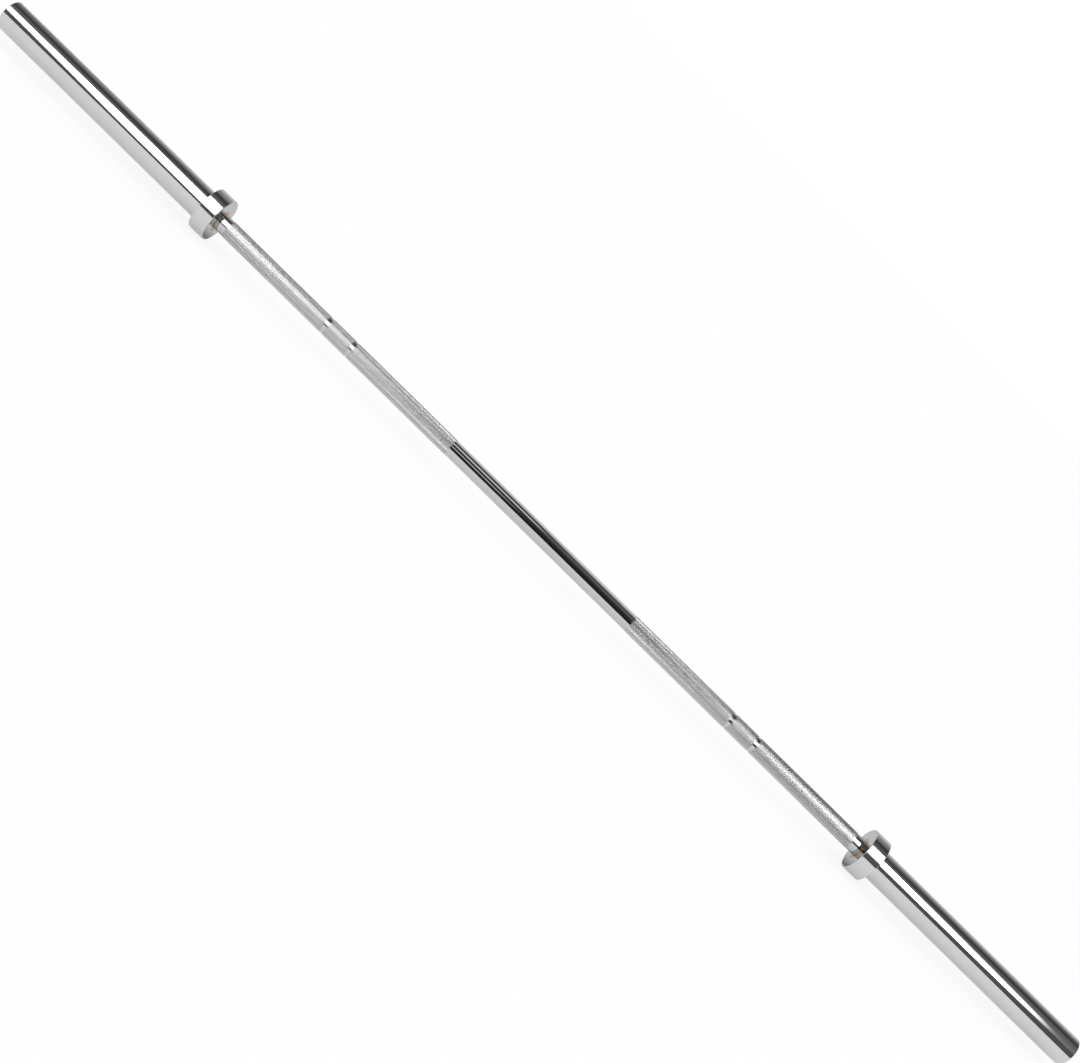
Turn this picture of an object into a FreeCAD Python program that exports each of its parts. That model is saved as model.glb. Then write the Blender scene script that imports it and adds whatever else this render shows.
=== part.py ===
import FreeCAD, Part
import math
import os

Vector = FreeCAD.Vector

# The bar lies along X with its middle at the origin. All lengths are in millimetres.

# Driving dimensions
overall_length = 2184.0
collar_spacing = 1321.0  # between the inner faces of the two collars
collar_diameter = 74.0
collar_thickness = 28.0
sleeve_diameter = 49.5
shaft_diameter = 28.0

# Grip of the shaft, from the middle outwards
smooth_centre_length = 370.0
inner_knurl_length = 203.0
middle_knurl_length = 45.0
ring_mark_width = 5.0
ring_mark_depth = 0.2
neck_length = 17.5  # smooth stretch beside the collar
knurl_height = 0.25
knurl_run_out = 0.8

# Turned ends of the shaft
shoulder_height = 1.5
shaft_end_bevel = 1.0
shaft_stub_length = 3.0  # beyond the last ring groove
shaft_end_gap = 3.0  # between the shaft's end and the end cap
centre_hole_diameter = 6.0
centre_hole_angle = 60.0

# Collar and sleeve tube
collar_rim_bevel = 1.2
collar_web = 6.0  # wall in front of the tube's end
collar_seat_step = 1.0  # the tube is turned down by this much under the collar
collar_lead_in_margin = 0.2  # by which the collar's bevelled mouth clears the full tube
sleeve_end_bevel = 1.5
sleeve_bore_clearance = 1.0
cap_ledge_width = 1.5
mouth_bevel = 0.8

# Bearing bushes
inner_bush_length = 45.0
inner_bush_wall = 5.0
outer_bush_length = 40.0
outer_bush_wall = 5.0
bush_bevel = 0.6

# Thrust washers
inner_washer_thickness = 2.0
outer_washer_thickness = 2.5
outer_washer_rim_clearance = 0.5
washer_bevel = 0.3

# Snap rings on the shaft
snap_ring_thickness = 2.0
snap_ring_back_width = 3.4
snap_ring_tip_width = 2.2
snap_ring_gap = 5.0
snap_ring_lug_radius = 2.2
snap_ring_hole_diameter = 2.0
snap_groove_depth = 0.6
snap_groove_land = 1.5  # between the two grooves

# End cap and the ring that holds it
end_cap_thickness = 4.0
end_cap_rim_width = 6.0
end_cap_dish_depth = 0.6
end_cap_bevel = 0.4
cap_ring_setback = 3.0  # from the sleeve's end to the ring
cap_ring_thickness = 1.5
cap_ring_back_width = 3.6
cap_ring_tip_width = 2.4
cap_ring_gap = 8.0
cap_ring_lug_radius = 2.6
cap_ring_hole_diameter = 2.2
cap_groove_depth = 1.0

# Clearances
running_clearance = 0.05  # bush on shaft, per side
thrust_clearance = 0.15  # along the shaft, at each end of the outer bush
washer_clearance = 0.1  # washer on journal, per side
inner_washer_rim_clearance = 0.3
groove_clearance = 0.1  # ring in its groove, along the shaft
cap_clearance = 0.1  # end cap in its recess, per side

# Radii, from the middle of the bar outwards
shaft_radius = shaft_diameter / 2
knurl_radius = shaft_radius + knurl_height
ring_mark_radius = shaft_radius - ring_mark_depth
journal_radius = shaft_radius - shoulder_height
snap_groove_radius = journal_radius - snap_groove_depth
inner_bush_bore = shaft_radius + running_clearance
inner_bush_radius = inner_bush_bore + inner_bush_wall
outer_bush_bore = journal_radius + running_clearance
outer_bush_radius = outer_bush_bore + outer_bush_wall
washer_bore = journal_radius + washer_clearance
sleeve_bore = shaft_radius + sleeve_bore_clearance
recess_radius = outer_bush_radius + cap_ledge_width
cap_groove_radius = recess_radius + cap_groove_depth
sleeve_radius = sleeve_diameter / 2
collar_seat_radius = sleeve_radius - collar_seat_step
collar_radius = collar_diameter / 2

# Places along the right half, from the collar's inner face to the sleeve's end
collar_front = collar_spacing / 2
collar_back = collar_front + collar_thickness
tube_start = collar_front + collar_web
inner_bush_end = collar_front + inner_bush_length
sleeve_end = overall_length / 2

# Places worked inwards from the sleeve's end
cap_groove_end = sleeve_end - cap_ring_setback
cap_groove_start = cap_groove_end - cap_ring_thickness - groove_clearance
cap_ledge = cap_groove_start - end_cap_thickness
shaft_end = cap_ledge - shaft_end_gap
backup_groove_end = shaft_end - shaft_stub_length
backup_groove_start = backup_groove_end - snap_ring_thickness - groove_clearance
snap_groove_end = backup_groove_start - snap_groove_land
snap_groove_start = snap_groove_end - snap_ring_thickness - groove_clearance
outer_washer_end = snap_groove_end - snap_ring_thickness
outer_washer_start = outer_washer_end - outer_washer_thickness
outer_bush_end = outer_washer_start - thrust_clearance
outer_bush_start = outer_bush_end - outer_bush_length
inner_washer_end = outer_bush_start - thrust_clearance
shoulder = inner_washer_end - inner_washer_thickness


def turned(outline):
    """A solid of revolution about X from the (x, radius) corners of its half section."""
    corners = [Vector(x, radius, 0) for x, radius in outline]
    section = Part.Face(Part.makePolygon(corners + corners[:1]))
    return section.revolve(Vector(), Vector(1, 0, 0), 360)


def circular_edges(solid, places):
    """The edges of a turned solid that run round X at the given (x, radius) places."""
    found = []
    for x, radius in places:
        for edge in solid.Edges:
            curve = edge.Curve
            if not isinstance(curve, Part.Circle):
                continue
            if math.isclose(curve.Center.x, x) and math.isclose(curve.Radius, radius):
                found.append(edge)
    return found


def bevelled(solid, size, places):
    """The turned solid with its edges at these (x, radius) places cut back at 45 degrees."""
    return solid.makeChamfer(size, circular_edges(solid, places))


def disc(radius, start, thickness, across=0, up=0):
    """A round disc square to X, from start towards the bar's end, with its middle at (across, up)."""
    return Part.makeCylinder(radius, thickness, Vector(start, across, up), Vector(1, 0, 0))


def grip_outline():
    """Corners along the right half of the shaft, from its smooth centre to the neck."""
    inner_start = smooth_centre_length / 2
    inner_end = inner_start + inner_knurl_length
    middle_start = inner_end + ring_mark_width
    middle_end = middle_start + middle_knurl_length
    outer_start = middle_end + ring_mark_width
    outer_end = collar_front - neck_length
    lands = [
        (inner_start, shaft_radius, inner_end, ring_mark_radius),
        (middle_start, ring_mark_radius, middle_end, ring_mark_radius),
        (outer_start, ring_mark_radius, outer_end, shaft_radius),
    ]
    outline = []
    for start, start_radius, end, end_radius in lands:
        outline += [
            (start, start_radius),
            (start + knurl_run_out, knurl_radius),
            (end - knurl_run_out, knurl_radius),
            (end, end_radius),
        ]
    return outline


def journal_outline():
    """Corners of the right turned end, from its shoulder to the bottom of its centre hole."""
    outline = [(shoulder, shaft_radius), (shoulder, journal_radius)]
    grooves = [(snap_groove_start, snap_groove_end), (backup_groove_start, backup_groove_end)]
    for start, end in grooves:
        outline += [
            (start, journal_radius),
            (start, snap_groove_radius),
            (end, snap_groove_radius),
            (end, journal_radius),
        ]
    centre_hole_radius = centre_hole_diameter / 2
    centre_hole_depth = centre_hole_radius / math.tan(math.radians(centre_hole_angle / 2))
    outline += [
        (shaft_end, journal_radius),
        (shaft_end, centre_hole_radius),
        (shaft_end - centre_hole_depth, 0),
    ]
    return outline


def shaft():
    """The one-piece bar, the same at both ends."""
    right = grip_outline() + journal_outline()
    left = [(-x, radius) for x, radius in reversed(right)]
    bar = turned(left + right)
    ends = [(-shaft_end, journal_radius), (shaft_end, journal_radius)]
    return bevelled(bar, shaft_end_bevel, ends)


def sleeve_tube():
    """Tube for the plates, bored for a bush at each end and recessed for the end cap."""
    tube = turned([
        (tube_start, inner_bush_radius),
        (tube_start, collar_seat_radius),
        (collar_back, collar_seat_radius),
        (collar_back, sleeve_radius),
        (sleeve_end, sleeve_radius),
        (sleeve_end, recess_radius),
        (cap_groove_end, recess_radius),
        (cap_groove_end, cap_groove_radius),
        (cap_groove_start, cap_groove_radius),
        (cap_groove_start, recess_radius),
        (cap_ledge, recess_radius),
        (cap_ledge, outer_bush_radius),
        (outer_bush_start, outer_bush_radius),
        (outer_bush_start, sleeve_bore),
        (inner_bush_end, sleeve_bore),
        (inner_bush_end, inner_bush_radius),
    ])
    tube = bevelled(tube, sleeve_end_bevel, [(sleeve_end, sleeve_radius)])
    return bevelled(tube, mouth_bevel, [(sleeve_end, recess_radius)])


def collar():
    """Cup-shaped ring pressed over the tube, with its web in front of the tube's end."""
    ring = turned([
        (collar_front, inner_bush_radius),
        (collar_front, collar_radius),
        (collar_back, collar_radius),
        (collar_back, collar_seat_radius),
        (tube_start, collar_seat_radius),
        (tube_start, inner_bush_radius),
    ])
    lead_in = collar_seat_step + collar_lead_in_margin
    ring = bevelled(ring, lead_in, [(collar_back, collar_seat_radius)])
    rims = [(collar_front, collar_radius), (collar_back, collar_radius)]
    return bevelled(ring, collar_rim_bevel, rims)


def washer(start, thickness, bore, radius, bevel):
    """Flat ring with its two outer edges bevelled."""
    end = start + thickness
    ring = turned([(start, bore), (start, radius), (end, radius), (end, bore)])
    return bevelled(ring, bevel, [(start, radius), (end, radius)])


def inner_bush():
    """Bronze bush on the full shaft, flush with the collar's inner face."""
    bush = washer(collar_front, inner_bush_length, inner_bush_bore, inner_bush_radius, bush_bevel)
    return bevelled(bush, bush_bevel, [(collar_front, inner_bush_bore)])


def outer_bush():
    """Bronze bush on the journal, against the step in the sleeve tube."""
    return washer(outer_bush_start, outer_bush_length, outer_bush_bore, outer_bush_radius, bush_bevel)


def inner_thrust_washer():
    """Washer between the shaft's shoulder and the outer bush."""
    radius = sleeve_bore - inner_washer_rim_clearance
    return washer(shoulder, inner_washer_thickness, washer_bore, radius, washer_bevel)


def outer_thrust_washer():
    """Washer between the outer bush and the snap ring."""
    radius = outer_bush_radius - outer_washer_rim_clearance
    return washer(outer_washer_start, outer_washer_thickness, washer_bore, radius, washer_bevel)


def lug_places(pitch_radius, lug_radius, gap):
    """Middles (across, up) of the two lugs, which stand on either side of the gap at the top."""
    across = gap / 2 + lug_radius
    up = math.sqrt(pitch_radius ** 2 - across ** 2)
    return [(-across, up), (across, up)]


def opened(ring, start, thickness, gap, reach, holes, hole_radius):
    """The ring with its gap cut at the top and a plier hole drilled through each lug."""
    ring = ring.cut(Part.makeBox(thickness, gap, reach, Vector(start, -gap / 2, 0)))
    for across, up in holes:
        ring = ring.cut(disc(hole_radius, start, thickness, across, up))
    return ring.removeSplitter()


def shaft_ring(groove_end):
    """Snap ring in a shaft groove: widest at its back, with its lugs standing outwards."""
    start = groove_end - snap_ring_thickness
    mean_width = (snap_ring_back_width + snap_ring_tip_width) / 2
    shift = (snap_ring_back_width - snap_ring_tip_width) / 2
    outer_radius = snap_groove_radius + mean_width
    pitch_radius = snap_groove_radius + snap_ring_lug_radius
    lugs = lug_places(pitch_radius, snap_ring_lug_radius, snap_ring_gap)
    ring = disc(outer_radius, start, snap_ring_thickness, up=-shift)
    for across, up in lugs:
        ring = ring.fuse(disc(snap_ring_lug_radius, start, snap_ring_thickness, across, up))
    ring = ring.cut(disc(snap_groove_radius, start, snap_ring_thickness))
    reach = pitch_radius + snap_ring_lug_radius
    hole_radius = snap_ring_hole_diameter / 2
    return opened(ring, start, snap_ring_thickness, snap_ring_gap, reach, lugs, hole_radius)


def snap_ring():
    """First snap ring, which takes the thrust of the outer washer."""
    return shaft_ring(snap_groove_end)


def backup_ring():
    """Second snap ring, behind the first."""
    return shaft_ring(backup_groove_end)


def end_cap():
    """Disc that closes the sleeve, with a shallow dish inside its rim."""
    radius = recess_radius - cap_clearance
    face = cap_ledge + end_cap_thickness
    dish_radius = radius - end_cap_rim_width
    cap = turned([
        (cap_ledge, 0),
        (cap_ledge, radius),
        (face, radius),
        (face, dish_radius),
        (face - end_cap_dish_depth, dish_radius),
        (face - end_cap_dish_depth, 0),
    ])
    return bevelled(cap, end_cap_bevel, [(cap_ledge, radius), (face, radius)])


def end_cap_ring():
    """Snap ring in the sleeve's recess: widest at its back, with its lugs standing inwards."""
    mean_width = (cap_ring_back_width + cap_ring_tip_width) / 2
    shift = (cap_ring_back_width - cap_ring_tip_width) / 2
    inner_radius = cap_groove_radius - mean_width
    pitch_radius = cap_groove_radius - cap_ring_lug_radius
    lugs = lug_places(pitch_radius, cap_ring_lug_radius, cap_ring_gap)
    ring = disc(cap_groove_radius, cap_groove_start, cap_ring_thickness)
    ring = ring.cut(disc(inner_radius, cap_groove_start, cap_ring_thickness, up=shift))
    for across, up in lugs:
        ring = ring.fuse(disc(cap_ring_lug_radius, cap_groove_start, cap_ring_thickness, across, up))
    hole_radius = cap_ring_hole_diameter / 2
    return opened(
        ring, cap_groove_start, cap_ring_thickness, cap_ring_gap, cap_groove_radius, lugs, hole_radius
    )


def main():
    """Writes the shaft, then each side's pieces: the left side is the right side turned about Z."""
    os.makedirs("parts", exist_ok=True)
    shaft().exportStep("parts/shaft.step")
    side_pieces = [
        sleeve_tube,
        collar,
        inner_bush,
        outer_bush,
        inner_thrust_washer,
        outer_thrust_washer,
        snap_ring,
        backup_ring,
        end_cap,
        end_cap_ring,
    ]
    for piece in side_pieces:
        right = piece()
        left = right.copy()
        left.rotate(Vector(), Vector(0, 0, 1), 180)
        right.exportStep(f"parts/right_{piece.__name__}.step")
        left.exportStep(f"parts/left_{piece.__name__}.step")


main()
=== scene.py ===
"""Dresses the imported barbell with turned, knurled and plated pieces, and sets it in a studio."""

import math

import bpy
import numpy as np
from bpy.props import FloatProperty, FloatVectorProperty, IntProperty, PointerProperty
from mathutils import Matrix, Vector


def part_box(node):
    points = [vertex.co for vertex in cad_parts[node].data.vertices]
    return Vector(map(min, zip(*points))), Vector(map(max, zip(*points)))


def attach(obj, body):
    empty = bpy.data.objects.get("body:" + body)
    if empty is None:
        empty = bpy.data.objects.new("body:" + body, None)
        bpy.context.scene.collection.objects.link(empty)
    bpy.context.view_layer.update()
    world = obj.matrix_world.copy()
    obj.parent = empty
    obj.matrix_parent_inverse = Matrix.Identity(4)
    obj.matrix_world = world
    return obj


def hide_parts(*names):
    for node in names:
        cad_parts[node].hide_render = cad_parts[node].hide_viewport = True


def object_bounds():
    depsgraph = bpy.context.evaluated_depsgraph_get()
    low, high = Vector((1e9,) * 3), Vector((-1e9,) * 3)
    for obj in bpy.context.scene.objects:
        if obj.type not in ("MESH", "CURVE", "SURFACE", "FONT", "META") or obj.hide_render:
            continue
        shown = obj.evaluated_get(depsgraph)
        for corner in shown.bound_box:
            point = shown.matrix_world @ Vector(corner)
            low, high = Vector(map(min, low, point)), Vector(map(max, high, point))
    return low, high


bl_info = {
    "name": "Barbell",
    "version": (1, 0, 0),
    "blender": (4, 5, 0),
    "location": "View3D > Sidebar > Barbell",
    "description": "Dresses the packed barbell with turned, knurled and plated pieces",
    "category": "Object",
}

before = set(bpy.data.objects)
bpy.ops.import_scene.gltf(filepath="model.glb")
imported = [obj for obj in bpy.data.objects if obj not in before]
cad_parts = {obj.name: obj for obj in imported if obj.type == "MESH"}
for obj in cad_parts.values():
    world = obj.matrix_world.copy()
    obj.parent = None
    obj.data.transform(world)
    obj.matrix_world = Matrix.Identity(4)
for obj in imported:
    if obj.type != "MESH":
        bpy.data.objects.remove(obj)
cad_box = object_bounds()

SIDES = ("left", "right")
HALF_TURN = np.array([-1.0, -1.0, 1.0])  # a half turn about Z takes the right side to the left
X, Y, Z = range(3)
MM = 0.001
LATHE_PITCH = 0.32 * MM  # between the rings that the lathe leaves on a face
KNURL_LAP = 0.4 * MM  # by which bare shaft runs in under a knurl's end
CORE_DROP = 0.6 * MM  # from the bare shaft down to its core under the knurls
KNURL_SINK = 0.2 * MM  # by which a knurl's inside lies under that core
FACING = "facing_ends"  # attribute with how far a corner faces along the bar


def span(node):
    """First and last place of a node along X, in metres."""
    low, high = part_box(node)
    return low.x, high.x


def reach(node):
    """Largest radius of a turned node, whose section is drawn on the Y side."""
    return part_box(node)[1].y


# Properties


def length(name, description, default):
    """A length in metres."""
    return FloatProperty(
        name=name,
        description=description,
        default=default,
        precision=5,
        subtype="DISTANCE",
        unit="LENGTH",
    )


def angle(name, description, degrees):
    """An angle, given here in degrees."""
    return FloatProperty(
        name=name,
        description=description,
        default=math.radians(degrees),
        subtype="ANGLE",
        unit="ROTATION",
    )


def share(name, description, default):
    """A number from 0 to 1."""
    return FloatProperty(
        name=name, description=description, default=default, min=0.0, max=1.0, subtype="FACTOR"
    )


def level(name, description, default):
    """A brightness, where 1 is white."""
    return FloatProperty(name=name, description=description, default=default, min=0.0)


def count(name, description, default):
    """A whole number of steps."""
    return IntProperty(name=name, description=description, default=default, min=3)


def colour(name, description, default):
    """A linear colour."""
    return FloatVectorProperty(
        name=name, description=description, default=default, min=0.0, max=1.0, subtype="COLOR"
    )


class BarSizes(bpy.types.PropertyGroup):
    """Sizes of the dressed pieces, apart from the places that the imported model's boxes give."""

    shaft_radius: length("Shaft radius", "Radius of the smooth bar", 14.0 * MM)
    smooth_centre: length("Smooth centre", "Length of the bare middle of the shaft", 370.0 * MM)
    inner_knurl: length("Inner grip", "Length of the knurl beside the smooth centre", 203.0 * MM)
    middle_knurl: length("Middle grip", "Length of the knurl between ring marks", 45.0 * MM)
    ring_mark: length("Ring mark", "Width of the bare ring between two knurls", 5.0 * MM)
    ring_mark_radius: length("Ring mark radius", "Radius at a ring mark", 13.8 * MM)
    neck: length("Neck", "Length of the bare shaft beside the collar", 17.5 * MM)
    knurl_radius: length("Knurl radius", "Radius over the knurl's crests", reach("shaft"))
    knurl_depth: length("Knurl depth", "Height of the crests over the grooves", 0.164 * MM)
    knurl_angle: angle("Knurl angle", "Angle between a groove and the bar", 23.5)
    knurl_count: count("Diamonds round", "Number of diamonds round the shaft", 70)
    diamond_flat: share("Diamond flat", "Share of a diamond's width that is its flat top", 0.50)
    diamond_brow: share("Diamond brow", "Share of a diamond's width within its eased edge", 0.78)
    brow_drop: share("Brow drop", "Share of the depth by which the eased edge falls", 0.30)
    run_out: count("Run-out", "Steps over which the crests rise at a knurl's ends", 3)
    end_crest: share("End crest", "Share of the depth that the outermost crests have", 0.4)
    end_height: length("End height", "Height of a knurl's ends over the bare shaft", 0.03 * MM)
    journal_radius: length("Journal radius", "Radius of the turned end", 12.5 * MM)
    groove_radius: length("Groove radius", "Radius at the snap ring grooves", 11.9 * MM)
    ring_play: length("Ring play", "Room beside a snap ring in its groove", 0.1 * MM)
    shaft_bevel: length("Shaft bevel", "Bevel at the shaft's ends", 1.0 * MM)
    centre_hole: length("Centre hole", "Radius of the lathe's centre hole", 3.0 * MM)
    centre_angle: angle("Centre angle", "Angle between the centre hole's wall and its axis", 30.0)
    shaft_rounding: length("Shaft rounding", "Rounding of the shaft's edges", 0.15 * MM)
    inner_bush: length("Inner bush", "Outer radius of the inner bush", reach("right_inner_bush"))
    outer_bush: length("Outer bush", "Outer radius of the outer bush", reach("right_outer_bush"))
    bush_bore: length("Bush bore", "Inner radius of the inner bush", 14.05 * MM)
    sleeve_bore: length("Sleeve bore", "Radius between the two bushes", 15.0 * MM)
    seat_radius: length("Seat radius", "Radius of the tube under the collar", 23.75 * MM)
    recess_radius: length("Recess radius", "Radius of the end cap's recess", 19.05 * MM)
    edge_rounding: length("Edge rounding", "Rounding of a plain turned edge", 0.3 * MM)
    collar_rounding: length("Collar rounding", "Rounding of the collar's rims", 1.2 * MM)
    collar_lead_in: length("Collar lead-in", "Bevel at the collar's mouth", 1.2 * MM)
    sleeve_rounding: length("Sleeve rounding", "Rounding of the sleeve's outer end", 1.5 * MM)
    mouth_rounding: length("Mouth rounding", "Rounding of the end cap's recess", 0.8 * MM)
    bush_rounding: length("Bush rounding", "Rounding of the inner bush", 0.6 * MM)
    cap_rim: length("Cap rim", "Width of the end cap's raised rim", 6.0 * MM)
    cap_dish: length("Cap dish", "Depth of the end cap's face inside its rim", 0.6 * MM)
    round_steps: count("Steps round", "Steps round each turned piece", 160)


class BarFinishes(bpy.types.PropertyGroup):
    """Colours and gloss of the finishes."""

    sleeve_chrome: colour("Sleeve chrome", "Colour of the sleeves' plate", (0.64, 0.645, 0.65))
    shaft_chrome: colour("Shaft chrome", "Colour of the shaft's plate", (0.575, 0.58, 0.58))
    grip: colour("Grip", "Colour of the knurled plate", (0.53, 0.535, 0.535))
    bronze: colour("Bronze", "Colour of the bushes", (0.56, 0.34, 0.14))
    washer: colour("Washer", "Colour of the thrust washers", (0.40, 0.40, 0.39))
    spring: colour("Spring", "Colour of the snap rings", (0.060, 0.060, 0.065))
    gloss: share("Gloss", "Roughness of the bright plate", 0.05)
    satin: share("Satin", "Roughness of turned faces", 0.16)
    grip_satin: share("Grip satin", "Roughness of the knurled plate", 0.20)


class StageSettings(bpy.types.PropertyGroup):
    """Camera, floor and light."""

    distance: length("Camera distance", "From the camera to the bar's middle", 2.29)
    elevation: angle("Camera elevation", "Height of the camera over the horizon", 20.0)
    yaw: angle("Camera yaw", "Turn that brings the left end nearer", 0.48)
    roll: angle("Camera roll", "Turn of the picture that tips the bar down to the right", 44.45)
    scale: FloatProperty(
        name="Scale", description="Pixels of the 1080 wide picture to a metre of the bar", default=677.9
    )
    aim_right: FloatProperty(
        name="Aim right", description="Pixels from the picture's middle to the bar's", default=0.7
    )
    aim_down: FloatProperty(
        name="Aim down", description="Pixels from the picture's middle to the bar's", default=3.9
    )
    floor: colour("Floor", "Colour of the floor", (0.96, 0.96, 0.96))
    floor_glow: share("Floor glow", "Share of plain white in the floor to the camera", 0.85)
    mirrored_glow: share("Mirrored glow", "Share of plain white in the floor to the chrome", 0.35)
    left_panel: level("Left panel", "Brightness of the soft panel over the left sleeve", 4.0)
    right_panel: level("Right panel", "Brightness of the soft panel over the right sleeve", 5.5)


# Shader maths


class Wire:
    """A shader socket: operators add Math nodes, and the node method adds any other node."""

    def __init__(self, tree, socket=None):
        self.tree = tree
        self.socket = socket

    def node(self, kind, settings=None, sockets=None, output=0):
        """Adds a node, sets its settings, then sets or links its sockets, and gives one output."""
        made = self.tree.nodes.new(kind)
        for name, value in (settings or {}).items():
            setattr(made, name, value)
        for name, value in (sockets or {}).items():
            if isinstance(value, Wire):
                self.tree.links.new(value.socket, made.inputs[name])
            else:
                made.inputs[name].default_value = value
        return Wire(self.tree, made.outputs[output]) if made.outputs else None

    def math(self, operation, first, second=0.0):
        """A Math node on two values."""
        return self.node("ShaderNodeMath", {"operation": operation}, {0: first, 1: second})

    def __add__(self, other):
        return self.math("ADD", self, other)

    def __radd__(self, other):
        return self.math("ADD", other, self)

    def __sub__(self, other):
        return self.math("SUBTRACT", self, other)

    def __rsub__(self, other):
        return self.math("SUBTRACT", other, self)

    def __mul__(self, other):
        return self.math("MULTIPLY", self, other)

    def __rmul__(self, other):
        return self.math("MULTIPLY", other, self)

    def __pow__(self, other):
        return self.math("POWER", self, other)

    def __abs__(self):
        return self.math("ABSOLUTE", self)

    def sine(self):
        """The sine of this value in radians."""
        return self.math("SINE", self)

    def ramp(self, low, high, kind="SMOOTHSTEP"):
        """Rises from 0 to 1 as this value goes from low to high."""
        return self.node(
            "ShaderNodeMapRange",
            {"interpolation_type": kind},
            {"Value": self, "From Min": low, "From Max": high},
        )

    def part(self, axis):
        """One axis of a vector."""
        return self.node("ShaderNodeSeparateXYZ", {}, {0: self}, axis)

    def noise(self, per_metre, detail=2.0):
        """Noise from 0 to 1 with so many cells to the metre along X, Y and Z."""
        cells = self.node("ShaderNodeVectorMath", {"operation": "MULTIPLY"}, {0: self, 1: per_metre})
        return self.node("ShaderNodeTexNoise", {}, {"Vector": cells, "Scale": 1.0, "Detail": detail})

    def mix(self, first, second):
        """A colour from first to second by this value."""
        return self.node(
            "ShaderNodeMix",
            {"data_type": "RGBA"},
            {"Factor": self, 6: first, 7: second},
            2,
        )

    def bump(self, height):
        """A normal raised by this value times height, in metres."""
        return self.node("ShaderNodeBump", {}, {"Height": self, "Distance": height})


def solid(rgb, factor=1.0):
    """A colour with its alpha, made lighter or darker by a factor."""
    return (*(min(1.0, channel * factor) for channel in rgb), 1.0)


def new_finish(name):
    """An empty material and the piece's own coordinates in it."""
    material = bpy.data.materials.new(name)
    material.use_nodes = True
    material.node_tree.nodes.clear()
    place = Wire(material.node_tree).node("ShaderNodeTexCoord", output="Object")
    return material, place


def close_finish(place, surface):
    """Links a shader to the material's output."""
    place.node("ShaderNodeOutputMaterial", {}, {"Surface": surface})


def metal(place, base, roughness, normal):
    """A metal surface."""
    return place.node(
        "ShaderNodeBsdfPrincipled",
        {},
        {"Base Color": base, "Metallic": 1.0, "Roughness": roughness, "Normal": normal},
    )


def facing_ends(place):
    """1 on faces square to the bar and 0 on its round surfaces, from the piece's own attribute."""
    facing = place.node("ShaderNodeAttribute", {"attribute_name": FACING}, {}, "Fac")
    return facing.ramp(0.75, 0.95)


def axis_radius(place):
    """Distance from the bar's axis, in metres."""
    across = place.part(Y)
    up = place.part(Z)
    return (across * across + up * up) ** 0.5


def bright_plate(name, chrome, finishes):
    """Polished chrome: faint polishing rings, hairlines along the bar and satin turned faces, which get
    a darker plate as painted shade.
    """
    material, place = new_finish(name)
    haze = place.noise((14.0, 60.0, 60.0), 3.0)
    polish = place.noise((5200.0, 40.0, 40.0))
    hairline = place.noise((10.0, 1700.0, 1700.0)).ramp(0.66, 0.74)
    ends = facing_ends(place)
    lathe = (axis_radius(place) * (2.0 * math.pi / LATHE_PITCH)).sine()
    satin = ends * (finishes.satin - finishes.gloss)
    roughness = finishes.gloss + haze * 0.025 + hairline * 0.03 + satin
    round_plate = haze.mix(solid(chrome, 0.97), solid(chrome, 1.03))
    # painted shade: the faces square to the bar take a darker copy of the chrome, for the shade that
    # they mirror
    base = ends.mix(round_plate, solid(chrome, 0.62))
    relief = polish * 0.03 + hairline * 0.02 + ends * lathe
    close_finish(place, metal(place, base, roughness, relief.bump(0.005 * MM)))
    return material


def grip_plate(name, finishes, sizes):
    """Chrome on the knurl: bright crests over grooves darkened with painted shade."""
    material, place = new_finish(name)
    groove_radius = sizes.knurl_radius - sizes.knurl_depth
    crest = axis_radius(place).ramp(groove_radius, sizes.knurl_radius)
    grain = place.noise((900.0, 900.0, 900.0), 3.0)
    patch = place.noise((18.0, 60.0, 60.0))
    # painted shade: the base colour darkens from the crests down into the grooves
    tone = crest * 0.8 + patch * 0.2
    base = tone.mix(solid(finishes.grip, 0.90), solid(finishes.grip, 1.05))
    roughness = finishes.grip_satin + grain * 0.06
    close_finish(place, metal(place, base, roughness, grain.bump(0.004 * MM)))
    return material


def oiled_bronze(name, finishes):
    """Sintered bronze: fine dark pores, and darker and glossier where oil sits."""
    material, place = new_finish(name)
    pores = place.noise((2600.0, 2600.0, 2600.0), 2.0).ramp(0.36, 0.52)
    oil = place.noise((130.0, 130.0, 130.0), 3.0).ramp(0.35, 0.70)
    clean = pores.mix(solid(finishes.bronze, 0.55), solid(finishes.bronze))
    base = oil.mix(clean, solid(finishes.bronze, 0.45))
    roughness = 0.24 - oil * 0.08 - pores * 0.03
    close_finish(place, metal(place, base, roughness, pores.bump(0.02 * MM)))
    return material


def ground_steel(name, finishes):
    """Ground washers: straight grinding lines across the faces."""
    material, place = new_finish(name)
    lines = place.noise((60.0, 60.0, 3800.0), 3.0)
    stain = place.noise((90.0, 90.0, 90.0), 3.0)
    base = stain.mix(solid(finishes.washer, 0.85), solid(finishes.washer, 1.1))
    roughness = 0.26 + lines * 0.16
    close_finish(place, metal(place, base, roughness, lines.bump(0.006 * MM)))
    return material


def phosphated_steel(name, finishes):
    """Spring steel with a dark crystalline phosphate coat."""
    material, place = new_finish(name)
    crystals = place.node("ShaderNodeTexVoronoi", {}, {"Vector": place, "Scale": 3200.0})
    cloud = place.noise((160.0, 160.0, 160.0), 3.0)
    tone = crystals * 0.5 + cloud * 0.5
    base = tone.mix(solid(finishes.spring, 0.7), solid(finishes.spring, 1.7))
    roughness = 0.40 + cloud * 0.20
    close_finish(place, metal(place, base, roughness, crystals.bump(0.008 * MM)))
    return material


# Surfaces


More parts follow.
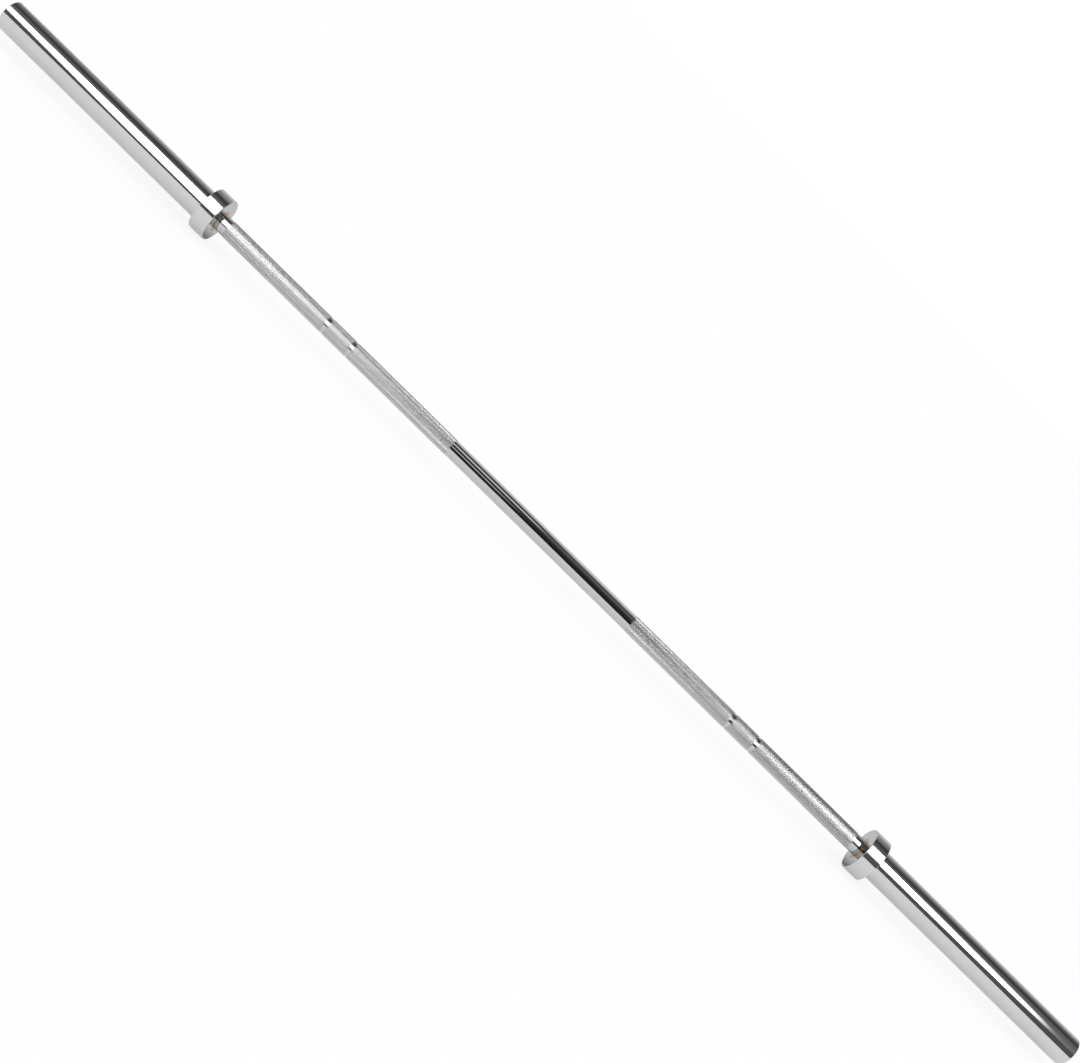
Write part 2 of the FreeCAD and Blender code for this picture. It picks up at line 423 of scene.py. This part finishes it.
def rounded(corners, rounding, closed, steps=5):
    """Points (x, r) along an outline whose corners are rounded.

    A corner c whose neighbours lie in the unit directions a and b becomes the arc
    c + t (a (1 - s)^2 + b s^2) / ((1 - s)^2 + 2 w s (1 - s) + s^2) for s from 0 to 1, where t is
    the rounding over the tangent of half the corner's angle and w is the sine of that half. One
    more point on each straight beside the arc keeps the shading of the straights true.
    """
    corners = np.asarray(corners, float)
    before = np.roll(corners, 1, axis=0) - corners
    after = np.roll(corners, -1, axis=0) - corners
    a = before / np.linalg.norm(before, axis=1, keepdims=True)
    b = after / np.linalg.norm(after, axis=1, keepdims=True)
    half = np.arccos(np.clip((a * b).sum(axis=1), -1.0, 1.0)) / 2.0
    t = (np.broadcast_to(rounding, len(corners)) / np.tan(half))[:, None, None]
    w = np.sin(half)[:, None, None]
    s = np.linspace(0.0, 1.0, steps)[None, :, None]
    weight = (1.0 - s) ** 2 + 2.0 * w * s * (1.0 - s) + s ** 2
    arcs = t * (a[:, None] * (1.0 - s) ** 2 + b[:, None] * s ** 2) / weight
    guard = 1.25 * t  # a little beyond the ends of the arc
    bends = np.concatenate([guard * a[:, None], arcs, guard * b[:, None]], axis=1)
    points = corners[:, None] + bends
    if closed:
        return points.reshape(-1, 2)
    inner = points[1:-1].reshape(-1, 2)
    return np.concatenate([corners[:1], inner, corners[-1:]])


def ring_quads(rings, steps, closed):
    """Corner numbers of the quads between neighbouring rings of a turned grid."""
    ring = np.arange(rings if closed else rings - 1)[:, None] * steps
    after = (ring + steps) % (rings * steps)
    here = np.arange(steps)[None, :]
    turn = (here + 1) % steps
    return np.stack([ring + here, ring + turn, after + turn, after + here], axis=-1).reshape(-1, 4)


def turned(outline, steps, closed):
    """Swings each outline point (x, r) round X to (x, r cos u, r sin u), for u in whole steps.

    A closed outline gives a tube. An open one starts and ends on the axis, and gives a solid
    whose two poles are fans of triangles.
    """
    rings = outline if closed else outline[1:-1]
    u = np.arange(steps) * (2.0 * np.pi / steps)
    x, r = rings[:, :1], rings[:, 1:]
    grid = np.stack(np.broadcast_arrays(x, r * np.cos(u), r * np.sin(u)), axis=-1).reshape(-1, 3)
    faces = ring_quads(len(rings), steps, closed).tolist()
    if closed:
        return grid, faces
    here = np.arange(steps)
    turn = (here + 1) % steps
    last = (len(rings) - 1) * steps
    first_pole = np.full(steps, len(grid))
    last_pole = first_pole + 1
    fans = np.concatenate([
        np.stack([first_pole, turn, here], axis=-1),
        np.stack([last + here, last + turn, last_pole], axis=-1),
    ])
    poles = np.array([[outline[0, 0], 0.0, 0.0], [outline[-1, 0], 0.0, 0.0]])
    return np.concatenate([grid, poles]), faces + fans.tolist()


def knurled(start, end, core_radius, sizes):
    """A ring of diamonds between two crossing sets of helical grooves, closed over the core.

    The grid has half a diamond to a step, i round the bar and j along it. Where i + j is even two
    grooves cross, at the groove radius. Where it is odd a diamond has its middle. The corners of
    its flat top lie the flat's share of a step away on all four sides, at the crest radius, and
    those of its brow, where the eased edge meets the flank, lie the brow's share away and a
    little lower. The crests rise over the first steps and fall over the last ones.
    """
    around = sizes.knurl_count
    half_angle = math.pi / around
    half_length = half_angle * sizes.knurl_radius / math.tan(sizes.knurl_angle)
    rows = 2 * round((end - start) / half_length / 2.0)
    step = (end - start) / rows
    groove_radius = sizes.knurl_radius - sizes.knurl_depth

    def on_bar(i, j, r):
        """The point at grid place (i, j) and radius r."""
        u = i * half_angle
        return np.stack(np.broadcast_arrays(start + j * step, r * np.cos(u), r * np.sin(u)), axis=-1)

    k = np.arange(around)[None, :]
    j = np.arange(rows + 1)[:, None]
    rise = np.clip(np.minimum(j, rows - j) / sizes.run_out, 0.0, 1.0)
    end_radius = sizes.shaft_radius + sizes.end_height
    crossing_radius = end_radius + (groove_radius - end_radius) * rise
    crossings = on_bar(2 * k + j % 2, j, crossing_radius).reshape(-1, 3)

    j = j[1:-1]
    crest_share = sizes.end_crest + (1.0 - sizes.end_crest) * rise[1:-1]
    crest = groove_radius + sizes.knurl_depth * crest_share
    middle = 2 * k + (j + 1) % 2
    ways = ((-1, 0), (0, -1), (1, 0), (0, 1))

    def square(part, r):
        """The four points this part of a step from each diamond's middle, at radius r."""
        points = [on_bar(middle + part * du, j + part * dx, r) for du, dx in ways]
        return np.stack(points, axis=2).reshape(-1, 3)

    tops = square(sizes.diamond_flat, crest)
    brows = square(sizes.diamond_brow, crest - (crest - groove_radius) * sizes.brow_drop)

    odd = j % 2
    sides = np.stack([
        j * around + (k - odd) % around,
        (j - 1) * around + k,
        j * around + (k + 1 - odd) % around,
        (j + 1) * around + k,
    ], axis=-1).reshape(-1, 4)
    top = (len(crossings) + np.arange(sides.size)).reshape(-1, 4)
    brow = top + sides.size

    def band(outer, inner):
        """The four quads of each diamond between an outer and an inner square."""
        quads = [outer, np.roll(outer, -1, axis=1), np.roll(inner, -1, axis=1), inner]
        return np.stack(quads, axis=-1).reshape(-1, 4)

    here = np.arange(around)
    turn = (here + 1) % around
    last = rows * around
    end_triangles = np.concatenate([
        np.stack([here, turn, around + here], axis=-1),
        np.stack([last + here, last - around + here, last + turn], axis=-1),
    ])

    core = np.stack([on_bar(2 * here, place, core_radius) for place in (rows, 0)])
    core_number = len(crossings) + top.size + brow.size
    loops = np.stack([last + here, core_number + here, core_number + around + here, here])
    walls = np.stack([
        loops[:-1], np.roll(loops[:-1], -1, axis=1), np.roll(loops[1:], -1, axis=1), loops[1:]
    ], axis=-1).reshape(-1, 4)

    points = np.concatenate([crossings, tops, brows, core.reshape(-1, 3)])
    quads = np.concatenate([top, band(brow, top), band(sides, brow), walls])
    return points, quads.tolist() + end_triangles.tolist()


# Objects


def put_mesh(name, points, faces, finish):
    """A mesh object at the origin, with its place in its points."""
    mesh = bpy.data.meshes.new(name)
    mesh.from_pydata(points, [], faces)
    mesh.materials.append(finish)
    obj = bpy.data.objects.new(name, mesh)
    bpy.context.scene.collection.objects.link(obj)
    return obj


def mark_facing(mesh):
    """Writes into an attribute how far each corner faces along the bar, from 0 to 1."""
    normals = np.empty(3 * len(mesh.vertices), np.float32)
    mesh.vertices.foreach_get("normal", normals)
    facing = mesh.attributes.new(FACING, "FLOAT", "POINT")
    facing.data.foreach_set("value", np.abs(normals[0::3]))


def put_piece(name, shape, finish, body, nodes, smooth=True):
    """A piece that rides on a body, stands for its nodes and wears the finish given to it."""
    points, faces = shape
    obj = put_mesh(name, points, faces, finish)
    mark_facing(obj.data)
    if smooth:
        obj.data.shade_smooth()
    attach(obj, body)
    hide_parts(*nodes)


def refinish(node, finish):
    """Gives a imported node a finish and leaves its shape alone."""
    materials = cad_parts[node].data.materials
    materials.clear()
    materials.append(finish)


def on_side(side, shape):
    """The right side's shape, or its half turn for the left side."""
    points, faces = shape
    return (points * HALF_TURN if side == "left" else points), faces


# Outlines


def grip_places(sizes):
    """Start and end of the right half's three knurls, from the middle outwards."""
    inner_start = sizes.smooth_centre / 2.0
    inner_end = inner_start + sizes.inner_knurl
    middle_start = inner_end + sizes.ring_mark
    middle_end = middle_start + sizes.middle_knurl
    outer_start = middle_end + sizes.ring_mark
    outer_end = span("right_collar")[0] - sizes.neck
    return {
        "inner": (inner_start, inner_end),
        "middle": (middle_start, middle_end),
        "outer": (outer_start, outer_end),
    }


def shaft_outline(sizes):
    """Corners of the right half of the shaft, from the smooth centre to the centre hole."""
    bare = sizes.shaft_radius
    core = bare - CORE_DROP
    corners = []
    radius = bare
    for grip, (start, end) in grip_places(sizes).items():
        after = bare if grip == "outer" else sizes.ring_mark_radius
        corners += [
            (start + KNURL_LAP, radius),
            (start + KNURL_LAP, core),
            (end - KNURL_LAP, core),
            (end - KNURL_LAP, after),
        ]
        radius = after
    shoulder = span("right_inner_thrust_washer")[0]
    corners += [(shoulder, bare), (shoulder, sizes.journal_radius)]
    for ring in ("right_snap_ring", "right_backup_ring"):
        start, end = span(ring)
        corners += [
            (start - sizes.ring_play, sizes.journal_radius),
            (start - sizes.ring_play, sizes.groove_radius),
            (end, sizes.groove_radius),
            (end, sizes.journal_radius),
        ]
    shaft_end = span("shaft")[1]
    centre_depth = sizes.centre_hole / math.tan(sizes.centre_angle)
    corners += [
        (shaft_end - sizes.shaft_bevel, sizes.journal_radius),
        (shaft_end, sizes.journal_radius - sizes.shaft_bevel),
        (shaft_end, sizes.centre_hole),
        (shaft_end - centre_depth, 0.0),
    ]
    return corners


def sleeve_outline(sizes):
    """Corners of the right sleeve tube, and the rounding of each."""
    start, end = span("right_sleeve_tube")
    collar_back = span("right_collar")[1]
    ledge = span("right_end_cap")[0]
    outer_seat = span("right_outer_bush")[0]
    inner_seat = span("right_inner_bush")[1]
    groove_start, groove_end = span("right_end_cap_ring")
    groove_radius = reach("right_end_cap_ring")
    radius = reach("right_sleeve_tube")
    edge = sizes.edge_rounding
    corners = [
        (start, sizes.inner_bush, edge),
        (start, sizes.seat_radius, edge),
        (collar_back, sizes.seat_radius, edge),
        (collar_back, radius, edge),
        (end, radius, sizes.sleeve_rounding),
        (end, sizes.recess_radius, sizes.mouth_rounding),
        (groove_end, sizes.recess_radius, edge),
        (groove_end, groove_radius, edge),
        (groove_start, groove_radius, edge),
        (groove_start, sizes.recess_radius, edge),
        (ledge, sizes.recess_radius, edge),
        (ledge, sizes.outer_bush, edge),
        (outer_seat, sizes.outer_bush, edge),
        (outer_seat, sizes.sleeve_bore, edge),
        (inner_seat, sizes.sleeve_bore, edge),
        (inner_seat, sizes.inner_bush, edge),
    ]
    return np.array(corners)


def collar_outline(sizes):
    """Corners of the right collar, and the rounding of each."""
    front, back = span("right_collar")
    web = span("right_sleeve_tube")[0]
    radius = reach("right_collar")
    lead_in = sizes.collar_lead_in
    edge = sizes.edge_rounding
    corners = [
        (front, sizes.inner_bush, edge),
        (front, radius, sizes.collar_rounding),
        (back, radius, sizes.collar_rounding),
        (back, sizes.seat_radius + lead_in, edge),
        (back - lead_in, sizes.seat_radius, edge),
        (web, sizes.seat_radius, edge),
        (web, sizes.inner_bush, edge),
    ]
    return np.array(corners)


def bush_outline(sizes):
    """Corners of the right inner bush, and the rounding of each."""
    start, end = span("right_inner_bush")
    eased = sizes.bush_rounding
    corners = [
        (start, sizes.bush_bore, eased),
        (start, sizes.inner_bush, eased),
        (end, sizes.inner_bush, eased),
        (end, sizes.bush_bore, sizes.edge_rounding),
    ]
    return np.array(corners)


def cap_outline(sizes):
    """Corners of the right end cap from pole to pole."""
    back, face = span("right_end_cap")
    radius = reach("right_end_cap")
    dish_radius = radius - sizes.cap_rim
    dish = face - sizes.cap_dish
    return [
        (back, 0.0),
        (back, radius),
        (face, radius),
        (face, dish_radius),
        (dish, dish_radius),
        (dish, 0.0),
    ]


def tube_shape(outline, sizes):
    """A turned tube from corners that carry their own rounding."""
    return turned(rounded(outline[:, :2], outline[:, 2], True), sizes.round_steps, True)


# Pieces


class BARBELL_OT_shaft(bpy.types.Operator):
    """Turns the one-piece shaft"""

    bl_idname = "barbell.shaft"
    bl_label = "Shaft"

    def execute(self, context):
        sizes = context.scene.bar_sizes
        right = shaft_outline(sizes)
        left = [(-x, radius) for x, radius in reversed(right)]
        outline = rounded(left + right, sizes.shaft_rounding, False)
        finishes = context.scene.bar_finishes
        finish = bright_plate("shaft_bright_plate", finishes.shaft_chrome, finishes)
        shape = turned(outline, sizes.round_steps, False)
        put_piece("turned_shaft", shape, finish, "shaft", ["shaft"])
        return {"FINISHED"}


class BARBELL_OT_grips(bpy.types.Operator):
    """Knurls the six grips"""

    bl_idname = "barbell.grips"
    bl_label = "Knurled grips"

    def execute(self, context):
        sizes = context.scene.bar_sizes
        finish = grip_plate("grip_plate", context.scene.bar_finishes, sizes)
        inside = sizes.shaft_radius - CORE_DROP - KNURL_SINK
        for grip, (start, end) in grip_places(sizes).items():
            shape = knurled(start, end, inside, sizes)
            for side in SIDES:
                name = f"{side}_{grip}_knurl"
                turned_round = on_side(side, shape)
                put_piece(name, turned_round, finish, "shaft", ["shaft"], False)
        return {"FINISHED"}


class BARBELL_OT_sleeves(bpy.types.Operator):
    """Turns the two sleeve tubes and their collars"""

    bl_idname = "barbell.sleeves"
    bl_label = "Sleeves and collars"

    def execute(self, context):
        sizes = context.scene.bar_sizes
        finishes = context.scene.bar_finishes
        finish = bright_plate("sleeve_bright_plate", finishes.sleeve_chrome, finishes)
        tube = tube_shape(sleeve_outline(sizes), sizes)
        collar = tube_shape(collar_outline(sizes), sizes)
        for side in SIDES:
            body = f"{side}_sleeve"
            for part, shape in (("sleeve_tube", tube), ("collar", collar)):
                name = f"{side}_turned_{part}"
                turned_round = on_side(side, shape)
                put_piece(name, turned_round, finish, body, [f"{side}_{part}"])
        return {"FINISHED"}


class BARBELL_OT_bushes(bpy.types.Operator):
    """Turns the inner bushes, whose faces show, and finishes the outer ones"""

    bl_idname = "barbell.bushes"
    bl_label = "Bushes"

    def execute(self, context):
        sizes = context.scene.bar_sizes
        finish = oiled_bronze("oiled_bronze", context.scene.bar_finishes)
        shape = tube_shape(bush_outline(sizes), sizes)
        for side in SIDES:
            name = f"{side}_turned_bush"
            body = f"{side}_sleeve"
            turned_round = on_side(side, shape)
            put_piece(name, turned_round, finish, body, [f"{side}_inner_bush"])
            refinish(f"{side}_outer_bush", finish)
        return {"FINISHED"}


class BARBELL_OT_end_caps(bpy.types.Operator):
    """Turns the two end caps"""

    bl_idname = "barbell.end_caps"
    bl_label = "End caps"

    def execute(self, context):
        sizes = context.scene.bar_sizes
        finishes = context.scene.bar_finishes
        finish = bright_plate("cap_plate", finishes.sleeve_chrome, finishes)
        outline = rounded(cap_outline(sizes), sizes.edge_rounding, False)
        shape = turned(outline, sizes.round_steps, False)
        for side in SIDES:
            name = f"{side}_turned_cap"
            body = f"{side}_sleeve"
            turned_round = on_side(side, shape)
            put_piece(name, turned_round, finish, body, [f"{side}_end_cap"])
        return {"FINISHED"}


class BARBELL_OT_rings(bpy.types.Operator):
    """Finishes the washers and snap rings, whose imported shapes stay"""

    bl_idname = "barbell.rings"
    bl_label = "Washers and snap rings"

    def execute(self, context):
        washer = ground_steel("ground_steel", context.scene.bar_finishes)
        spring = phosphated_steel("phosphated_steel", context.scene.bar_finishes)
        for side in SIDES:
            for name in ("inner_thrust_washer", "outer_thrust_washer"):
                refinish(f"{side}_{name}", washer)
            for name in ("snap_ring", "backup_ring", "end_cap_ring"):
                refinish(f"{side}_{name}", spring)
        return {"FINISHED"}


# Stage

PANEL_END = 2.9  # from the bar's middle to the panels' far ends
LEFT_GAP = 0.68  # from the bar's middle to the left panel
RIGHT_GAP = 0.80  # from the bar's middle to the right panel
DARK_GAP = 0.44  # from the bar's middle to the sides of the dark card between the panels
CEILING_HEIGHT = 1.3  # over the bar's axis, in metres as all the stage's lengths are
LIP_DROP = 0.01  # from the ceiling down to its lip
STRIP_HEIGHT = 1.25  # of the upper strip over the bar's axis

# Place of the low card along the bar, and its low and high edge in degrees over the front horizon
LOW_CARD = (
    (-2.80, 4.0, 39.0),
    (-2.00, 5.0, 32.0),
    (-1.65, 7.0, 23.5),
    (-1.30, 6.0, 21.0),
    (-0.85, 5.0, 28.0),
    (-0.62, 5.0, 28.0),
    (-0.58, 6.0, 6.5),
    (0.40, 5.0, 5.5),
    (0.46, 5.0, 35.0),
    (0.85, 3.0, 37.0),
    (1.30, 5.0, 33.0),
    (1.70, 4.5, 34.5),
    (2.00, 2.0, 37.0),
    (2.80, 2.0, 41.0),
)

# Place along the bar, and the ceiling's front edge there in degrees over the front horizon
CEILING_EDGE = (
    (-2.40, 58.0),
    (-1.66, 65.5),
    (-1.30, 74.0),
    (-1.03, 72.5),
    (-0.75, 65.5),
    (0.75, 66.0),
    (1.03, 72.5),
    (1.30, 72.0),
    (1.66, 62.5),
    (2.40, 53.0),
)


def floor_finish(stage):
    """White floor that keeps a soft shadow, stronger in the chrome than to the camera."""
    material, place = new_finish("studio_floor")
    matt = place.node("ShaderNodeBsdfDiffuse", {}, {"Color": solid(stage.floor)})
    white = place.node("ShaderNodeEmission", {}, {"Color": (1.0, 1.0, 1.0, 1.0)})
    rays = place.node("ShaderNodeLightPath").socket.node.outputs
    names = ("Is Camera Ray", "Is Glossy Ray", "Is Transmission Ray")
    camera, glossy, through = (Wire(place.tree, rays[name]) for name in names)
    mirrored = place.math("MAXIMUM", glossy, through)
    factor = camera * stage.floor_glow + mirrored * stage.mirrored_glow
    close_finish(place, place.node("ShaderNodeMixShader", {}, {0: factor, 1: matt, 2: white}))
    return material


def glow_finish(name, axis, start, end):
    """A card whose glow goes from one (place, brightness) on an axis to another."""
    material, place = new_finish(name)
    fade = place.part(axis).ramp(start[0], end[0], "LINEAR")
    brightness = start[1] + fade * (end[1] - start[1])
    close_finish(place, place.node("ShaderNodeEmission", {}, {"Color": brightness}))
    return material


def even_glow_finish(name, brightness):
    """A card that glows the same all over."""
    material, place = new_finish(name)
    close_finish(place, place.node("ShaderNodeEmission", {}, {"Strength": brightness}))
    return material


def toward(degrees, distance):
    """(y, z) at these angles over the front horizon and this distance from the bar's axis."""
    turn = np.radians(degrees)
    return np.stack([-distance * np.cos(turn), distance * np.sin(turn)], axis=-1)


def under_ceiling(degrees, height):
    """(y, z) where lines at these angles over the front horizon come up to this height."""
    return toward(degrees, height / np.sin(np.radians(degrees)))


def put_card(name, along, low_edge, high_edge, finish):
    """A card that only the chrome sees: at each place x a straight line between its two edges."""
    edges = [np.column_stack([along, edge]) for edge in (low_edge, high_edge)]
    here = np.arange(len(along) - 1)
    faces = np.stack([here, here + 1, len(along) + here + 1, len(along) + here], axis=-1)
    card = put_mesh(name, np.concatenate(edges), faces.tolist(), finish)
    card.visible_camera = False
    card.visible_shadow = False
    card.visible_diffuse = False


def put_round_card(name, rows, distance, finish):
    """A card at one distance from the bar's axis, from rows of place, low angle and high angle."""
    along, low, high = zip(*rows)
    put_card(name, along, toward(low, distance), toward(high, distance), finish)


def put_floor(stage):
    """A level square under the collars."""
    half_width = 9.0
    height = cad_box[0].z
    corners = np.array([(-1.0, -1.0), (1.0, -1.0), (1.0, 1.0), (-1.0, 1.0)]) * half_width
    points = np.column_stack([corners, np.full(len(corners), height)])
    put_mesh("floor", points, [(0, 1, 2, 3)], floor_finish(stage))


def put_sky():
    """Even white light from all round."""
    world = bpy.data.worlds.new("studio")
    world.use_nodes = True
    world.node_tree.nodes.clear()
    wire = Wire(world.node_tree)
    glow = wire.node("ShaderNodeBackground", {}, {"Color": (1.0, 1.0, 1.0, 1.0), "Strength": 1.0})
    wire.node("ShaderNodeOutputWorld", {}, {"Surface": glow})
    bpy.context.scene.world = world


def put_panels(stage):
    """A soft white panel to each side of the camera. The right one fades out at its far end."""
    distance = 2.4
    far_edges = (24.0, 72.0)  # low and high, in degrees over the front horizon
    near_edges = (18.0, 84.0)
    left = even_glow_finish("left_panel", stage.left_panel)
    left_rows = ((-PANEL_END, *far_edges), (-LEFT_GAP, *near_edges))
    put_round_card("left_panel", left_rows, distance, left)
    right = glow_finish("right_panel", X, (1.77, stage.right_panel), (2.02, 0.2))
    right_rows = ((PANEL_END, *far_edges), (RIGHT_GAP, *near_edges))
    put_round_card("right_panel", right_rows, distance, right)


def put_front_cards():
    """Dark cards in the gap between the panels and under them."""
    gap_distance = 2.35
    gap_edges = (0.5, 86.0)  # low and high, in degrees over the front horizon
    gap = glow_finish("gap_card", Z, (0.9, 0.02), (2.3, 0.10))
    gap_rows = ((-DARK_GAP, *gap_edges), (DARK_GAP, *gap_edges))
    put_round_card("gap_card", gap_rows, gap_distance, gap)
    low_distance = 2.1
    put_round_card("low_card", LOW_CARD, low_distance, even_glow_finish("low_card", 0.10))


def put_strips():
    """Two thin bright strips in front of the gap card, which end over the bar's middle."""
    upper = glow_finish("upper_strip", X, (-0.03, 1.35), (0.03, 0.05))
    upper_front = under_ceiling((75.5, 75.5), STRIP_HEIGHT)
    upper_back = under_ceiling((85.0, 85.0), STRIP_HEIGHT)
    put_card("upper_strip", (-0.34, 0.03), upper_front, upper_back, upper)
    lower_distance = 1.6
    lower_edges = (34.0, 42.0)  # low and high, in degrees over the front horizon
    lower = glow_finish("lower_strip", X, (-0.15, 0.90), (-0.05, 0.03))
    lower_rows = ((-0.37, *lower_edges), (-0.05, *lower_edges))
    put_round_card("lower_strip", lower_rows, lower_distance, lower)


def ceiling_finish():
    """A dark card that grows lighter towards the back.

    The brightness rises with y in a straight line, by more over the bar's middle and collars and by
    less at the left end, and it starts sooner just right of the middle.
    """
    material, place = new_finish("ceiling")
    along = place.part(X)
    side = abs(along)
    middle = 1.0 - side.ramp(0.35, 0.70)
    collars = side.ramp(0.90, 1.05) * (1.0 - side.ramp(1.10, 1.25))
    left_end = 1.0 - along.ramp(-2.10, -1.70)
    right_of_middle = along.ramp(-0.05, 0.12) * (1.0 - along.ramp(0.35, 0.60))
    back = (place.part(Y) + 0.2 * right_of_middle).ramp(0.36, 2.6, "LINEAR")
    gain = 0.62 + 1.2 * middle + 0.5 * collars - 0.37 * left_end
    brightness = place.math("MINIMUM", 0.05 + back * gain, 0.98)
    close_finish(place, place.node("ShaderNodeEmission", {}, {"Color": brightness}))
    return material


def put_overhead_card(name, back_angle, height, finish):
    """A level card from the ceiling's front edge back to one angle over the front horizon."""
    along, front_angles = zip(*CEILING_EDGE)
    back_angles = np.full(len(along), back_angle)
    front = under_ceiling(front_angles, height)
    back = under_ceiling(back_angles, height)
    put_card(name, along, front, back, finish)


def put_ceiling():
    """A ceiling, and under its front edge a narrower card that makes that edge soft."""
    put_overhead_card("ceiling", 160.0, CEILING_HEIGHT, ceiling_finish())
    lip = glow_finish("ceiling_lip", Y, (-0.30, 0.17), (0.30, 0.05))
    put_overhead_card("ceiling_lip", 103.0, CEILING_HEIGHT - LIP_DROP, lip)


def put_collar_shades():
    """Grey cards on the floor behind the collars, whose inner faces mirror that place: a painted shadow
    of the collars and shaft, which only the chrome sees.
    """
    depth = 0.05
    inward = 0.1  # by which a card reaches past the collar towards the bar's middle
    height = cad_box[0].z + 0.5 * MM
    # painted shadow: darkest next to the bar and lighter further back
    shade = glow_finish("collar_shade", Y, (0.005, 0.28), (depth, 0.95))
    front, back = span("right_collar")
    for side, sign in zip(SIDES, (-1.0, 1.0)):
        along = (sign * (front - inward), sign * back)
        put_card(f"{side}_collar_shade", along, [(0.0, height)] * 2, [(depth, height)] * 2, shade)


def put_end_cards():
    """Grey cards beyond both ends, and a dark one along the back for views from behind."""
    distance = 3.0
    foot = 0.2
    top = 2.0
    front = [(-2.2, foot), (-2.2, top)]
    back = [(1.6, foot), (1.6, top)]
    grey = glow_finish("end_card", Z, (foot, 0.25), (top, 0.5))
    for side, x in zip(SIDES, (-distance, distance)):
        put_card(f"{side}_end_card", (x, x), front, back, grey)
    back_edges = (166.0, 173.0)  # low and high, in degrees over the front horizon
    back_rows = ((-4.0, *back_edges), (4.0, *back_edges))
    put_round_card("back_card", back_rows, distance, even_glow_finish("back_card", 0.03))


def put_camera(stage):
    """Looks at the bar's middle from the front and above, rolled as in the picture."""
    picture_width = 1080.0
    along = np.array([1.0, 0.0, 0.0])
    level_view = np.array([0.0, math.cos(stage.elevation), -math.sin(stage.elevation)])
    over = np.array([0.0, math.sin(stage.elevation), math.cos(stage.elevation)])
    view = level_view * math.cos(stage.yaw) + along * math.sin(stage.yaw)
    bar = along * math.cos(stage.yaw) - level_view * math.sin(stage.yaw)
    right = bar * math.cos(stage.roll) + over * math.sin(stage.roll)
    up = over * math.cos(stage.roll) - bar * math.sin(stage.roll)
    aim = (up * stage.aim_down - right * stage.aim_right) / stage.scale
    data = bpy.data.cameras.new("camera")
    data.lens = stage.scale * stage.distance * data.sensor_width / picture_width
    camera = bpy.data.objects.new("camera", data)
    turn = Matrix(np.column_stack([right, up, -view]).tolist()).to_4x4()
    camera.matrix_world = Matrix.Translation((aim - view * stage.distance).tolist()) @ turn
    bpy.context.scene.collection.objects.link(camera)
    bpy.context.scene.camera = camera


class BARBELL_OT_stage(bpy.types.Operator):
    """Sets the floor, the light and the camera"""

    bl_idname = "barbell.stage"
    bl_label = "Studio stage"

    def execute(self, context):
        stage = context.scene.bar_stage
        context.scene.view_settings.view_transform = "Standard"
        put_floor(stage)
        put_sky()
        put_panels(stage)
        put_front_cards()
        put_strips()
        put_ceiling()
        put_collar_shades()
        put_end_cards()
        put_camera(stage)
        return {"FINISHED"}


# Add-on


class BARBELL_PT_panel(bpy.types.Panel):
    """Lists the operators and the settings"""

    bl_label = "Barbell"
    bl_idname = "BARBELL_PT_panel"
    bl_space_type = "VIEW_3D"
    bl_region_type = "UI"
    bl_category = "Barbell"

    def draw(self, context):
        for operator in OPERATORS:
            self.layout.operator(operator.bl_idname)
        for group in (context.scene.bar_sizes, context.scene.bar_finishes, context.scene.bar_stage):
            box = self.layout.box()
            for name in group.__annotations__:
                box.prop(group, name)


OPERATORS = (
    BARBELL_OT_shaft,
    BARBELL_OT_grips,
    BARBELL_OT_sleeves,
    BARBELL_OT_bushes,
    BARBELL_OT_end_caps,
    BARBELL_OT_rings,
    BARBELL_OT_stage,
)
CLASSES = (BarSizes, BarFinishes, StageSettings, *OPERATORS, BARBELL_PT_panel)


def register():
    """Registers the classes and puts the settings on the scene."""
    for item in CLASSES:
        bpy.utils.register_class(item)
    bpy.types.Scene.bar_sizes = PointerProperty(type=BarSizes)
    bpy.types.Scene.bar_finishes = PointerProperty(type=BarFinishes)
    bpy.types.Scene.bar_stage = PointerProperty(type=StageSettings)


def unregister():
    """Takes the settings and the classes away again."""
    del bpy.types.Scene.bar_stage
    del bpy.types.Scene.bar_finishes
    del bpy.types.Scene.bar_sizes
    for item in reversed(CLASSES):
        bpy.utils.unregister_class(item)


def main():
    """Builds every piece and the stage."""
    register()
    bpy.ops.barbell.shaft()
    bpy.ops.barbell.grips()
    bpy.ops.barbell.sleeves()
    bpy.ops.barbell.bushes()
    bpy.ops.barbell.end_caps()
    bpy.ops.barbell.rings()
    bpy.ops.barbell.stage()


if __name__ == "__main__":
    main()
